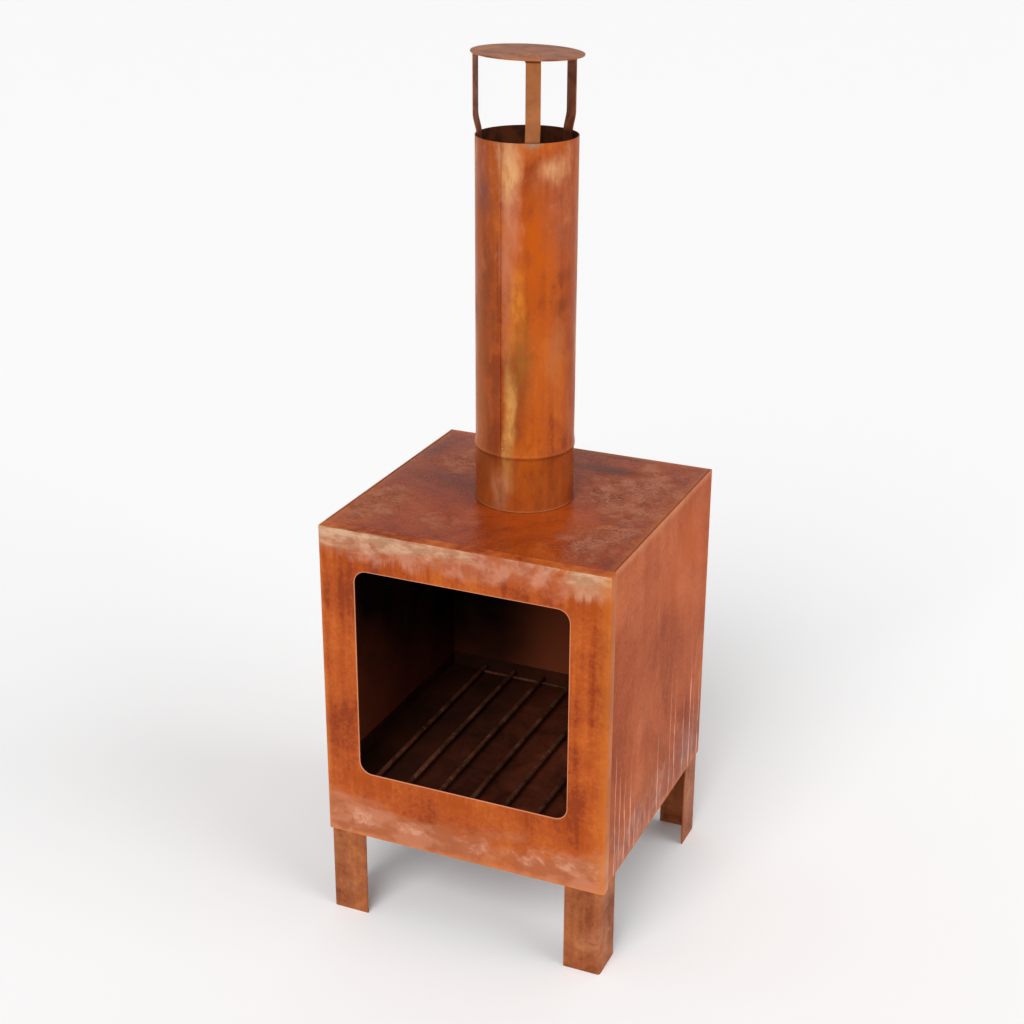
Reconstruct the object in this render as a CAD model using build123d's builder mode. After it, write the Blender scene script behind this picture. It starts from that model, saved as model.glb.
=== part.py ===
from build123d import *
from math import acos, degrees
import os

# A square steel chiminea: a folded-sheet firebox on four angle legs, a loose fire grate
# inside it, and a chimney pipe with a rain cap that stands over a collar on the top plate.
# Millimetres. The origin is on the ground under the middle of the box. +X is to the right,
# +Y to the back and +Z up, and the mouth faces -Y.

os.makedirs("parts", exist_ok=True)

# Firebox
box_width = 350.0
box_depth = 344.0
box_height = 392.0
sheet = 1.5
leg_height = 110.0
box_bottom = leg_height
box_top = box_bottom + box_height
front_face = -box_depth / 2
back_face = box_depth / 2

# Front panel: its edges are folded back over the box, round a small bend
front_return = 14.0
fold_radius = 3.0
mouth_width = 259.0
mouth_height = 258.0
mouth_sill = 86.0
mouth_corner = 15.0
mouth_offset = -1.0
cut_edge_round = 0.4

# Side and back panels start a little above the front panel's lower edge
panel_rise = 4.0
panel_outer_x = box_width / 2 - sheet
panel_inner_x = panel_outer_x - sheet
chamber_front = front_face + sheet
chamber_back = back_face - sheet

# Top plate: its edges are folded down inside the side and back panels
plate_lip = 12.0
plate_fold_radius = 2.0

# Floor plate: a shallow tray that stands on the legs' upper ends
floor_level = box_bottom + 60.0
floor_lip = 17.0

# Legs: folded angle strips inside the box's corners
leg_sheet = 2.0
leg_fold_radius = 1.6
leg_face_width = 45.0
leg_side_width = 44.0

# Chimney pipe, and the collar that it stands over
flue_y = 4.0
pipe_radius = 56.2
pipe_wall = 1.2
pipe_length = 415.0
pipe_bore = pipe_radius - pipe_wall
pipe_top = box_top + pipe_length
collar_gap = 0.5
collar_wall = 1.2
collar_height = 60.0
collar_radius = pipe_bore - collar_gap
collar_flange = 13.5
hole_gap = 0.1

# The pipe's rolled bead: a sharp lower shoulder that fades out upwards
bead_bottom = box_top + 65.0
bead_height = 13.0
bead_proud = 1.0
bead_shoulder = 1.5
bead_land = 2.5

# The pipe's lap seam: the sheet's outer edge stands proud, at the end of a flat that
# leaves the round as a tangent
seam_angle = -6.0
seam_proud = 0.9
seam_spread = degrees(acos(pipe_radius / (pipe_radius + seam_proud)))
seam_root = 0.4

# Rain cap: a flat disc, slightly tilted, on three bent straps
disc_radius = 60.8
disc_thickness = 1.6
disc_top = box_top + 501.3
disc_slope_x = 0.0284
disc_slope_y = 0.0118
strap_width = 15.8
strap_thickness = 1.9
strap_angles = {"left": -82.0, "front": 29.0, "right": 147.0}
strap_reach = 58.5
strap_tab = 13.0
strap_bend_start = 17.0
strap_bend_end = 1.0
strap_leg = 32.0
strap_bend_radius = 3.0
strap_wall_gap = 0.05

# Fire grate: round bars welded on two cross rods, loose on the floor plate
bar_radius = 3.0
bar_count = 7
bar_pitch = 41.0
bar_length = 330.0
cross_rod_radius = 2.0
cross_rod_overhang = 3.0
cross_rod_inset = 5.0
grate_clearance = 0.3


def save(built, name):
    """Label a finished piece and write it as a STEP file of the same name."""
    built.part.label = name
    export_step(built.part, f"parts/{name}.step")


# Front panel: a shallow pan, open at the bottom and the back, with the mouth cut in its face
with BuildPart() as front_panel:
    with BuildSketch(Plane.XY.offset(box_bottom)):
        with Locations((0, front_face + front_return / 2)):
            Rectangle(box_width, front_return)
    extrude(amount=box_height)
    upright_folds = front_panel.edges().filter_by(Axis.Z).group_by(Axis.Y)[0]
    top_edges = front_panel.edges().group_by(Axis.Z)[-1]
    top_fold = top_edges.filter_by(Axis.X).sort_by(Axis.Y)[0:1]
    top_corners = top_edges.filter_by(Axis.Y)
    fillet(upright_folds + top_fold + top_corners, radius=fold_radius)
    pan_bottom = front_panel.faces().sort_by(Axis.Z)[0]
    pan_back = front_panel.faces().sort_by(Axis.Y)[-1]
    offset(amount=-sheet, openings=[pan_bottom, pan_back])
    mouth_centre = (mouth_offset, front_face, box_bottom + mouth_sill + mouth_height / 2)
    with BuildSketch(Plane(origin=mouth_centre, x_dir=(1, 0, 0), z_dir=(0, -1, 0))) as mouth:
        RectangleRounded(mouth_width, mouth_height, mouth_corner)
    extrude(amount=sheet * 2, both=True, mode=Mode.SUBTRACT)
    outer_face = front_panel.faces().sort_by(Axis.Y)[0]
    fillet(outer_face.inner_wires()[0].edges(), radius=cut_edge_round)
save(front_panel, "front_panel")

# Side panels: flat, under the front panel's folded edges, notched for its top return
return_end = front_face + front_return
side_front = front_face + fold_radius
for side, name in ((-1, "left_side_panel"), (1, "right_side_panel")):
    with BuildPart() as side_panel:
        with BuildSketch(Plane.YZ.offset(side * panel_outer_x)):
            with BuildLine():
                Polyline(
                    (side_front, box_bottom + panel_rise),
                    (back_face, box_bottom + panel_rise),
                    (back_face, box_top),
                    (return_end, box_top),
                    (return_end, box_top - fold_radius),
                    (side_front, box_top - fold_radius),
                    close=True,
                )
            make_face()
        extrude(amount=-side * sheet)
    save(side_panel, name)

# Back panel: flat, between the side panels
with BuildPart() as back_panel:
    with BuildSketch(Plane.XZ.offset(-back_face)):
        with Locations((0, (box_bottom + panel_rise + box_top) / 2)):
            Rectangle(panel_inner_x * 2, box_height - panel_rise)
    extrude(amount=sheet)
save(back_panel, "back_panel")

# Top plate: three edges folded down, the front edge butted to the front panel's top return
plate_length = chamber_back - return_end
plate_middle = (chamber_back + return_end) / 2
with BuildPart() as top_plate:
    with BuildSketch(Plane.XY.offset(box_top - plate_lip)):
        with Locations((0, plate_middle)):
            Rectangle(panel_inner_x * 2, plate_length)
    extrude(amount=plate_lip)
    plate_top_edges = top_plate.edges().group_by(Axis.Z)[-1]
    plate_back_edge = plate_top_edges.filter_by(Axis.X).sort_by(Axis.Y)[-1:]
    fillet(plate_top_edges.filter_by(Axis.Y) + plate_back_edge, radius=plate_fold_radius)
    plate_under = top_plate.faces().sort_by(Axis.Z)[0]
    plate_front = top_plate.faces().sort_by(Axis.Y)[0]
    offset(amount=-sheet, openings=[plate_under, plate_front])
    with Locations((0, flue_y, box_top)):
        Hole(radius=collar_radius + hole_gap)
save(top_plate, "top_plate")

# Floor plate: a tray with its lips turned up against the four walls
with BuildPart() as floor_plate:
    with BuildSketch(Plane.XY.offset(floor_level - sheet)):
        Rectangle(panel_inner_x * 2, chamber_back - chamber_front)
    extrude(amount=floor_lip + sheet)
    floor_folds = floor_plate.edges().group_by(Axis.Z)[0]
    fillet(floor_folds, radius=fold_radius)
    floor_mouth = floor_plate.faces().sort_by(Axis.Z)[-1]
    offset(amount=-sheet, openings=[floor_mouth])
save(floor_plate, "floor_plate")

# Legs: each strip is folded to an angle whose corner sits in a corner of the box
leg_corners = {
    "leg_front_left": (-panel_inner_x, chamber_front, 1, 1),
    "leg_front_right": (panel_inner_x, chamber_front, -1, 1),
    "leg_back_left": (-panel_inner_x, chamber_back, 1, -1),
    "leg_back_right": (panel_inner_x, chamber_back, -1, -1),
}
for name, (corner_x, corner_y, inward_x, inward_y) in leg_corners.items():
    with BuildPart() as leg:
        with BuildSketch():
            with BuildLine():
                Polyline(
                    (corner_x, corner_y),
                    (corner_x + inward_x * leg_face_width, corner_y),
                    (corner_x + inward_x * leg_face_width, corner_y + inward_y * leg_sheet),
                    (corner_x + inward_x * leg_sheet, corner_y + inward_y * leg_sheet),
                    (corner_x + inward_x * leg_sheet, corner_y + inward_y * leg_side_width),
                    (corner_x, corner_y + inward_y * leg_side_width),
                    close=True,
                )
            make_face()
        extrude(amount=floor_level - sheet)
        bend = leg.edges().filter_by(Axis.Z).sort_by_distance((corner_x, corner_y, floor_level / 2))[0]
        fillet(bend, radius=leg_fold_radius)
    save(leg, name)

# Collar: a short spigot through the top plate's hole, with a flange under the plate
flue_plane = Plane(origin=(0, flue_y, 0), x_dir=(1, 0, 0), z_dir=(0, -1, 0))
flue_axis = Axis((0, flue_y, 0), (0, 0, 1))
flange_top = box_top - sheet
with BuildPart() as flue_collar:
    with BuildSketch(flue_plane):
        with BuildLine():
            Polyline(
                (collar_radius - collar_wall, flange_top - sheet),
                (collar_radius + collar_flange, flange_top - sheet),
                (collar_radius + collar_flange, flange_top),
                (collar_radius, flange_top),
                (collar_radius, box_top + collar_height),
                (collar_radius - collar_wall, box_top + collar_height),
                close=True,
            )
        make_face()
    revolve(axis=flue_axis)
save(flue_collar, "flue_collar")

# Pipe: one rolled sheet, with its bead and the proud edge of its lap seam
bead_land_top = bead_bottom + bead_shoulder + bead_land
bead_top = bead_bottom + bead_height
with BuildPart() as flue_pipe:
    with BuildSketch(flue_plane):
        with BuildLine():
            Polyline(
                (pipe_bore, box_top),
                (pipe_radius, box_top),
                (pipe_radius, bead_bottom),
                (pipe_radius + bead_proud, bead_bottom + bead_shoulder),
                (pipe_radius + bead_proud, bead_land_top),
                (pipe_radius, bead_top),
                (pipe_radius, pipe_top),
                (pipe_bore, pipe_top),
                (pipe_bore, bead_top),
                (pipe_bore + bead_proud, bead_land_top),
                (pipe_bore + bead_proud, bead_bottom + bead_shoulder),
                (pipe_bore, bead_bottom),
                close=True,
            )
        make_face()
    revolve(axis=flue_axis)
    seam_plane = Plane(origin=(0, flue_y, box_top), x_dir=(0, -1, 0), z_dir=(0, 0, 1)).rotated((0, 0, seam_angle))
    facet_start = Vector(pipe_radius, 0).rotate(Axis.Z, -seam_spread)
    root_start = Vector(pipe_radius - seam_root, 0).rotate(Axis.Z, -seam_spread)
    root_middle = Vector(pipe_radius - seam_root, 0).rotate(Axis.Z, -seam_spread / 2)
    with BuildSketch(seam_plane):
        with BuildLine():
            Polyline(
                root_start,
                facet_start,
                (pipe_radius + seam_proud, 0),
                (pipe_radius - seam_root, 0),
            )
            ThreePointArc((pipe_radius - seam_root, 0), root_middle, root_start)
        make_face()
    extrude(amount=pipe_length)
save(flue_pipe, "flue_pipe")

# Rain cap: the disc leans a little to the right and to the back
disc_normal = Vector(disc_slope_x, disc_slope_y, 1).normalized()
disc_centre = (0, flue_y, disc_top)
with BuildPart() as cap_disc:
    with BuildSketch(Plane(origin=disc_centre, x_dir=(1, 0, -disc_slope_x), z_dir=disc_normal)):
        Circle(disc_radius)
    extrude(amount=-disc_thickness)
    fillet(cap_disc.edges(), radius=cut_edge_round)
save(cap_disc, "cap_disc")


def disc_underside(x, y):
    """Height of the disc's underside over a point on the ground."""
    return disc_top - disc_thickness - disc_slope_x * x - disc_slope_y * (y - flue_y)


# Straps: a tab under the disc, an upright, a double bend, and a leg inside the pipe.
# A flat strap touches the round bore with its two edges, so it stands a little off the wall.
half_width = strap_width / 2
bore_reach = (pipe_bore**2 - half_width**2) ** 0.5 - strap_wall_gap
for side, angle in strap_angles.items():
    radial = Vector(0, -1).rotate(Axis.Z, angle)
    across = Vector(1, 0).rotate(Axis.Z, angle)
    tab_corners = [
        radial * reach + across * edge + Vector(0, flue_y)
        for reach in (strap_reach, strap_reach - strap_tab)
        for edge in (-half_width, half_width)
    ]
    tab_top = min(disc_underside(corner.X, corner.Y) for corner in tab_corners)
    middle = strap_thickness / 2
    strap_plane = Plane(origin=(0, flue_y, 0), x_dir=radial, z_dir=-across)
    with BuildPart() as cap_strap:
        with BuildLine(strap_plane):
            centre_line = FilletPolyline(
                (strap_reach - strap_tab, tab_top - middle),
                (strap_reach - middle, tab_top - middle),
                (strap_reach - middle, pipe_top + strap_bend_start),
                (bore_reach - middle, pipe_top + strap_bend_end),
                (bore_reach - middle, pipe_top - strap_leg),
                radius=strap_bend_radius,
            )
        section_plane = Plane(origin=centre_line @ 0, x_dir=across, z_dir=centre_line % 0)
        with BuildSketch(section_plane):
            Rectangle(strap_width, strap_thickness)
        sweep()
    save(cap_strap, f"cap_strap_{side}")

# Grate: the bars run from front to back on top of the cross rods
cross_rod_height = floor_level + grate_clearance + cross_rod_radius
bar_height = cross_rod_height + cross_rod_radius + bar_radius
first_bar = -bar_pitch * (bar_count - 1) / 2
for number in range(bar_count):
    with BuildPart() as grate_bar:
        bar_end = (first_bar + number * bar_pitch, bar_length / 2, bar_height)
        with BuildSketch(Plane(origin=bar_end, x_dir=(1, 0, 0), z_dir=(0, -1, 0))):
            Circle(bar_radius)
        extrude(amount=bar_length)
        fillet(grate_bar.edges().filter_by(GeomType.CIRCLE), radius=cut_edge_round)
    save(grate_bar, f"grate_bar_{number + 1}")

cross_rod_length = bar_pitch * (bar_count - 1) + 2 * cross_rod_overhang
cross_rod_y = bar_length / 2 - cross_rod_inset
for place, rod_y in (("front", -cross_rod_y), ("back", cross_rod_y)):
    with BuildPart() as cross_rod:
        with BuildSketch(Plane(origin=(-cross_rod_length / 2, rod_y, cross_rod_height), z_dir=(1, 0, 0))):
            Circle(cross_rod_radius)
        extrude(amount=cross_rod_length)
    save(cross_rod, f"grate_cross_rod_{place}")
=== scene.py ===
from math import acos, cos, pi, radians, sin

import bmesh
import bpy
from mathutils import Matrix, Vector, noise


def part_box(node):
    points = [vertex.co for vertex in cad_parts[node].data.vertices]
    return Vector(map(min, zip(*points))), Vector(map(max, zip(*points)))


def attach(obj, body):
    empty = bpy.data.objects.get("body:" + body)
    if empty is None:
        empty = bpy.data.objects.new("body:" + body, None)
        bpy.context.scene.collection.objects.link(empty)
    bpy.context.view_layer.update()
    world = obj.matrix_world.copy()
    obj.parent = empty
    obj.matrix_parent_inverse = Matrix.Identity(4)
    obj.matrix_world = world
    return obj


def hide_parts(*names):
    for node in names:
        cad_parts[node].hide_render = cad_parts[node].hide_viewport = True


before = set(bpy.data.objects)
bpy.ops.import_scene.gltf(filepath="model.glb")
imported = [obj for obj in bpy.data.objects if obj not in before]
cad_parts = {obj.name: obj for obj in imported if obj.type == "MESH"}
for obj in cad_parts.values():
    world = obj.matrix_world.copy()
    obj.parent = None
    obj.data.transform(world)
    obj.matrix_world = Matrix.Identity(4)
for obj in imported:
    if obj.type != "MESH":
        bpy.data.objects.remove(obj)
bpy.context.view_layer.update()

# ------------------------
# Legs. Each is a strip of 2 mm weathering steel folded lengthwise to an angle. It stands
# inside a corner of the box, tacked to the panels, with its sheared end on the ground.

MM = 0.001
X, Y, Z = Vector((1, 0, 0)), Vector((0, 1, 0)), Vector((0, 0, 1))
leg_sheet = 2 * MM
leg_fold = 3 * MM
fold_steps = 5
sheared_edge = 0.35 * MM
dull_gloss = 0.2
warm_gloss = (1.0, 0.62, 0.38, 1.0)
bump_height = 2 * MM
merge_within = 0.01 * MM


def paint(red, green, blue):
    """A colour given as the eye reads it, 0 to 255, in the shader's linear numbers."""
    shares = [channel / 255 for channel in (red, green, blue)]
    linear = [s / 12.92 if s <= 0.04045 else ((s + 0.055) / 1.055) ** 2.4 for s in shares]
    return (*linear, 1.0)


def give(tree, socket, value):
    """Links a socket to a socket, or sets a socket's own value."""
    if isinstance(value, bpy.types.NodeSocket):
        tree.links.new(value, socket)
    else:
        socket.default_value = value


def place(tree, kind, inputs=None, **settings):
    """Adds a node with its settings and its inputs, given by name or by number."""
    node = tree.nodes.new(kind)
    for name, value in settings.items():
        setattr(node, name, value)
    for name, value in (inputs or {}).items():
        give(tree, node.inputs[name], value)
    return node


def work_out(tree, operation, first, second=0.0, clamp=False):
    """One sum on two single values."""
    inputs = {0: first, 1: second}
    return place(tree, "ShaderNodeMath", inputs, operation=operation, use_clamp=clamp).outputs[0]


def times(tree, first, second, clamp=False):
    """One value multiplied by another."""
    return work_out(tree, "MULTIPLY", first, second, clamp)


def plus(tree, first, second):
    """Two values added."""
    return work_out(tree, "ADD", first, second)


def less(tree, first, second, clamp=False):
    """One value with another taken off it."""
    return work_out(tree, "SUBTRACT", first, second, clamp)


def ease(tree, value, low, high, to_low=0.0, to_high=1.0):
    """Turns low..high into to_low..to_high, with soft ends."""
    inputs = {"Value": value, "From Min": low, "From Max": high, "To Min": to_low, "To Max": to_high}
    return place(tree, "ShaderNodeMapRange", inputs, interpolation_type="SMOOTHSTEP").outputs["Result"]


def cover(tree, share, under, over):
    """Lays one colour over another, as thickly as share says."""
    inputs = {0: share, 6: under, 7: over}
    return place(tree, "ShaderNodeMix", inputs, data_type="RGBA").outputs[2]


def tint(tree, mask, strength, under, over):
    """Lays one colour over another where a mask says, no thicker than strength."""
    return cover(tree, times(tree, mask, strength), under, over)


def on_vectors(tree, operation, first, second=(0, 0, 0)):
    """One sum on two places. A length comes out as a single value."""
    node = place(tree, "ShaderNodeVectorMath", {0: first, 1: second}, operation=operation)
    return node.outputs["Value" if operation == "LENGTH" else "Vector"]


def cloud(tree, spot, scale, detail=4.0, roughness=0.55, distortion=0.0):
    """Soft noise about one half."""
    inputs = {"Vector": spot, "Scale": scale, "Detail": detail, "Roughness": roughness,
              "Distortion": distortion}
    return place(tree, "ShaderNodeTexNoise", inputs).outputs["Fac"]


def stretch(tree, spot, scale, location=(0, 0, 0)):
    """The same place with each axis scaled and moved."""
    inputs = {"Vector": spot, "Scale": scale, "Location": location}
    return place(tree, "ShaderNodeMapping", inputs).outputs["Vector"]


def split_up(tree, spot):
    """The three coordinates of a place."""
    return place(tree, "ShaderNodeSeparateXYZ", {"Vector": spot}).outputs[:]


def shade_group(name, inputs, outputs):
    """An empty shader group with named sockets: its tree, its inputs and its output node.
    An input's default is one number, three for a place, or four for a colour."""
    tree = bpy.data.node_groups.new(name, "ShaderNodeTree")
    kinds = {1: "NodeSocketFloat", 3: "NodeSocketVector", 4: "NodeSocketColor"}
    for label, default in inputs.items():
        kind = kinds[1 if isinstance(default, float) else len(default)]
        socket = tree.interface.new_socket(label, in_out="INPUT", socket_type=kind)
        socket.default_value = default
    for label, numbers in outputs.items():
        tree.interface.new_socket(label, in_out="OUTPUT", socket_type=kinds[numbers])
    return tree, tree.nodes.new("NodeGroupInput").outputs, tree.nodes.new("NodeGroupOutput").inputs


def use(tree, group, inputs):
    """Puts a shader group in a material with that material's own values."""
    return place(tree, "ShaderNodeGroup", inputs, node_tree=group).outputs


# The rust layer itself: clouds from dark to bright, marks of water run down, and a grain.
rust_ground, given, out = shade_group(
    "rust ground",
    {"Place": (0, 0, 0), "Dark": paint(120, 55, 25), "Middle": paint(175, 90, 40),
     "Bright": paint(205, 120, 45), "Cloud size": 10.0, "Run size": 60.0, "Runs": 0.4, "Grain": 0.15},
    {"Colour": 4, "Tone": 1})
tree = rust_ground
clouds = cloud(tree, given["Place"], given["Cloud size"], 6.0, 0.62, 0.5)
runs = cloud(tree, stretch(tree, given["Place"], (1, 1, 0.05)), given["Run size"], 3.0, 0.6)
grain = cloud(tree, given["Place"], 190.0, 6.0, 0.8)
tone = clouds
for pattern, amount in ((runs, given["Runs"]), (grain, given["Grain"])):
    tone = plus(tree, tone, times(tree, less(tree, pattern, 0.5), amount))
lower = cover(tree, ease(tree, tone, 0.34, 0.52), given["Dark"], given["Middle"])
upper = cover(tree, ease(tree, tone, 0.50, 0.68), lower, given["Bright"])
give(tree, out["Colour"], upper)
give(tree, out["Tone"], tone)

# A thin film of other oxides, beige to mauve, in torn patches where Reach lets it form.
oxide_film, given, out = shade_group(
    "oxide film",
    {"Place": (0, 0, 0), "Base": paint(170, 90, 40), "Film": paint(200, 165, 135),
     "Deep film": paint(150, 100, 95), "Reach": 0.5, "Patch size": 25.0, "Thickness": 0.8},
    {"Colour": 4, "Mask": 1})
tree = oxide_film
torn = cloud(tree, given["Place"], given["Patch size"], 7.0, 0.62, 0.8)
fine_size = times(tree, given["Patch size"], 3.1)
fine = cloud(tree, given["Place"], fine_size, 4.0, 0.6)
level = plus(tree, torn, less(tree, given["Reach"], 1.0))
mask = times(tree, ease(tree, level, 0.0, 0.22), given["Thickness"], clamp=True)
film = cover(tree, ease(tree, fine, 0.40, 0.60), given["Film"], given["Deep film"])
give(tree, out["Colour"], cover(tree, mask, given["Base"], film))
give(tree, out["Mask"], mask)

# The height of the skin: shallow waves in the sheet, lumps of rust, and clusters of pits.
pitted_skin, given, out = shade_group(
    "pitted skin",
    {"Place": (0, 0, 0), "Waves": 0.3, "Lumps": 0.1, "Pits": 0.05},
    {"Height": 1})
tree = pitted_skin
waves = cloud(tree, given["Place"], 12.0, 1.0)
lumps = cloud(tree, given["Place"], 170.0, 5.0, 0.6)
cells = {"Vector": given["Place"], "Scale": 500.0, "Randomness": 1.0}
nearness = place(tree, "ShaderNodeTexVoronoi", cells).outputs["Distance"]
crowd = ease(tree, cloud(tree, given["Place"], 40.0, 4.0), 0.40, 0.60)
pit = times(tree, ease(tree, nearness, 0.15, 0.50, 1.0, 0.0), crowd)
height = times(tree, waves, given["Waves"])
height = plus(tree, height, times(tree, lumps, given["Lumps"]))
height = less(tree, height, times(tree, pit, given["Pits"]))
give(tree, out["Height"], height)


def start_material(name):
    """A new material: itself, its node tree, its shader and the place on the object."""
    material = bpy.data.materials.new(name)
    material.use_nodes = True
    tree = material.node_tree
    spot = tree.nodes.new("ShaderNodeTexCoord").outputs["Object"]
    return material, tree, tree.nodes["Principled BSDF"], spot


def surface(tree, shader, spot, colour, roughness, metallic=0.0, bump=0.5, **skin):
    """Joins the colour, the roughness and a pitted skin to the shader."""
    height = use(tree, pitted_skin, {"Place": spot, **skin})["Height"]
    bumped = place(tree, "ShaderNodeBump", {"Height": height, "Strength": bump, "Distance": bump_height})
    give(tree, shader.inputs["Base Color"], colour)
    give(tree, shader.inputs["Roughness"], roughness)
    give(tree, shader.inputs["Normal"], bumped.outputs[0])
    shader.inputs["Metallic"].default_value = metallic
    shader.inputs["Specular IOR Level"].default_value = dull_gloss
    shader.inputs["Specular Tint"].default_value = warm_gloss


def moved_parts(result, kind):
    """The vertices or edges in what an operator returns."""
    return [part for part in result["geom"] if isinstance(part, kind)]


def box_mesh(low, high):
    """A plain box between two corners."""
    mesh = bmesh.new()
    bmesh.ops.create_cube(mesh, size=1)
    bmesh.ops.scale(mesh, verts=mesh.verts, vec=high - low)
    bmesh.ops.translate(mesh, verts=mesh.verts, vec=(low + high) / 2)
    return mesh


def finish_piece(mesh, name, body, material, nodes=(), inside=None, wall=0.0, edge=sheared_edge):
    """Makes a bmesh a piece on its body. An open sheet is turned away from the point inside
    and given its wall inwards, and the sharp edges are broken."""
    bmesh.ops.remove_doubles(mesh, verts=mesh.verts, dist=merge_within)
    bmesh.ops.recalc_face_normals(mesh, faces=mesh.faces)
    for face in mesh.faces:
        if inside and face.normal.dot(face.calc_center_median() - inside) < 0:
            face.normal_flip()
    data = bpy.data.meshes.new(name)
    mesh.to_mesh(data)
    mesh.free()
    data.shade_smooth()
    data.set_sharp_from_angle(angle=radians(35))
    data.materials.append(material)
    piece = bpy.data.objects.new(name, data)
    bpy.context.scene.collection.objects.link(piece)
    if wall:
        sheet = piece.modifiers.new("sheet", "SOLIDIFY")
        sheet.thickness = wall
        sheet.offset = -1.0
        sheet.use_even_offset = True
    if edge:
        broken = piece.modifiers.new("broken edges", "BEVEL")
        broken.width = edge
        broken.segments = 2
        broken.limit_method = "ANGLE"
        broken.angle_limit = radians(50)
        broken.harden_normals = True
    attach(piece, body)
    if nodes:
        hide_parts(*nodes)


leg_rust, tree, shader, spot = start_material("leg rust")
ground = use(tree, rust_ground, {
    "Place": spot, "Dark": paint(118, 58, 32), "Middle": paint(146, 80, 46), "Bright": paint(168, 98, 54),
    "Cloud size": 18.0, "Run size": 130.0, "Runs": 0.35, "Grain": 0.4})
film = use(tree, oxide_film, {
    "Place": spot, "Base": ground["Colour"], "Film": paint(184, 118, 86), "Deep film": paint(136, 80, 58),
    "Reach": 0.50, "Patch size": 26.0, "Thickness": 0.55})
surface(tree, shader, spot, film["Colour"], ease(tree, ground["Tone"], 0.3, 0.7, 0.62, 0.48))

for leg in ("leg_front_left", "leg_front_right", "leg_back_left", "leg_back_right"):
    low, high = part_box(leg)
    corner = Vector((max(low.x, high.x, key=abs), max(low.y, high.y, key=abs), low.z))
    open_side = Vector((min(low.x, high.x, key=abs), min(low.y, high.y, key=abs), low.z))
    mesh = bmesh.new()
    toes = [mesh.verts.new(spot) for spot in (
        (open_side.x, corner.y, low.z), corner, (corner.x, open_side.y, low.z))]
    foot = [mesh.edges.new(pair) for pair in zip(toes, toes[1:])]
    raised = moved_parts(bmesh.ops.extrude_edge_only(mesh, edges=foot), bmesh.types.BMVert)
    bmesh.ops.translate(mesh, verts=raised, vec=(0, 0, high.z - low.z))
    fold = [edge for edge in mesh.edges if all((v.co - corner).xy.length < MM for v in edge.verts)]
    bmesh.ops.bevel(mesh, geom=fold, offset=leg_fold, segments=fold_steps, profile=0.5,
                    affect="EDGES", material=-1)
    open_side.z = (low.z + high.z) / 2
    finish_piece(mesh, f"{leg}_angle", "firebox", leg_rust, (leg,), open_side, leg_sheet)

# ------------------------
# Floor plate. A tray of 1.5 mm sheet with its four edges turned up against the walls. It
# stands on the legs' upper ends, and the fire has burnt it dull and dark. Its left part is
# darkened further with painted shade.

sheet = 1.5 * MM
tray_fold = 3 * MM
floor_low, floor_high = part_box("floor_plate")
plate_low, plate_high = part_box("top_plate")
front_low, front_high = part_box("front_panel")
back_low, back_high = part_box("back_panel")
chamber_low = Vector((floor_low.x - sheet / 4, front_low.y + sheet / 2, floor_low.z + sheet / 2))
chamber_high = Vector((floor_high.x + sheet / 4, back_high.y - sheet / 2, plate_high.z - sheet / 2))


def gaps_within(tree, spot, low, high):
    """How far a place is inside each side of a box, low sides first, and inside the nearest."""
    gaps = []
    for first, second in ((spot, low), (high, spot)):
        gaps += split_up(tree, on_vectors(tree, "SUBTRACT", first, second))
    nearest = gaps[0]
    for gap in gaps[1:]:
        nearest = work_out(tree, "MINIMUM", nearest, gap)
    return gaps, nearest


# What the fire leaves inside the chamber: soot, thickest under the roof and at the back, and
# a painted patch of light on the right, where light through the mouth falls on the back wall.
chamber_soot_and_light, given, out = shade_group(
    "chamber soot and painted light",
    {"Place": (0, 0, 0), "Base": paint(150, 80, 50)},
    {"Colour": 4, "Mask": 1})
tree = chamber_soot_and_light
gaps, nearest = gaps_within(tree, given["Place"], chamber_low, chamber_high)
from_mouth, above_floor, from_right = gaps[1:4]
inside_it = work_out(tree, "GREATER_THAN", nearest, 0.0)
depth = plus(tree, above_floor, times(tree, from_mouth, 0.45))
blackness = ease(tree, depth, 0.03, 0.26)
blotch = less(tree, cloud(tree, given["Place"], 18.0, 5.0, 0.6), 0.5)
blackness = plus(tree, blackness, times(tree, blotch, 0.6))
# Painted light: a lighter brown patch on the right, where light through the mouth falls.
painted_light_patch = ease(tree, from_right, 0.17, 0.28, 0.95, 0.0)
blackness = less(tree, blackness, painted_light_patch, clamp=True)
soot_and_painted_light = cover(tree, blackness, paint(116, 54, 32), paint(13, 8, 6))
soot_and_painted_light = tint(tree, painted_light_patch, 0.3, soot_and_painted_light, paint(150, 76, 46))
give(tree, out["Colour"], cover(tree, inside_it, given["Base"], soot_and_painted_light))
give(tree, out["Mask"], inside_it)

burnt_steel_and_shade, tree, shader, spot = start_material("burnt steel and painted shade")
x, y, z = split_up(tree, spot)
ground = use(tree, rust_ground, {
    "Place": spot, "Dark": paint(58, 24, 15), "Middle": paint(86, 38, 24), "Bright": paint(112, 52, 32),
    "Cloud size": 16.0, "Runs": 0.0, "Grain": 0.3})
# Painted shade: the left part of the floor darkens towards near black, away from the light through the
# mouth.
painted_shade_left = ease(tree, x, -0.11, 0.06, 0.75, 0.0)
colour = cover(tree, painted_shade_left, ground["Colour"], paint(30, 15, 10))
surface(tree, shader, spot, colour, 0.72, bump=0.7, Lumps=0.16)

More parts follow.
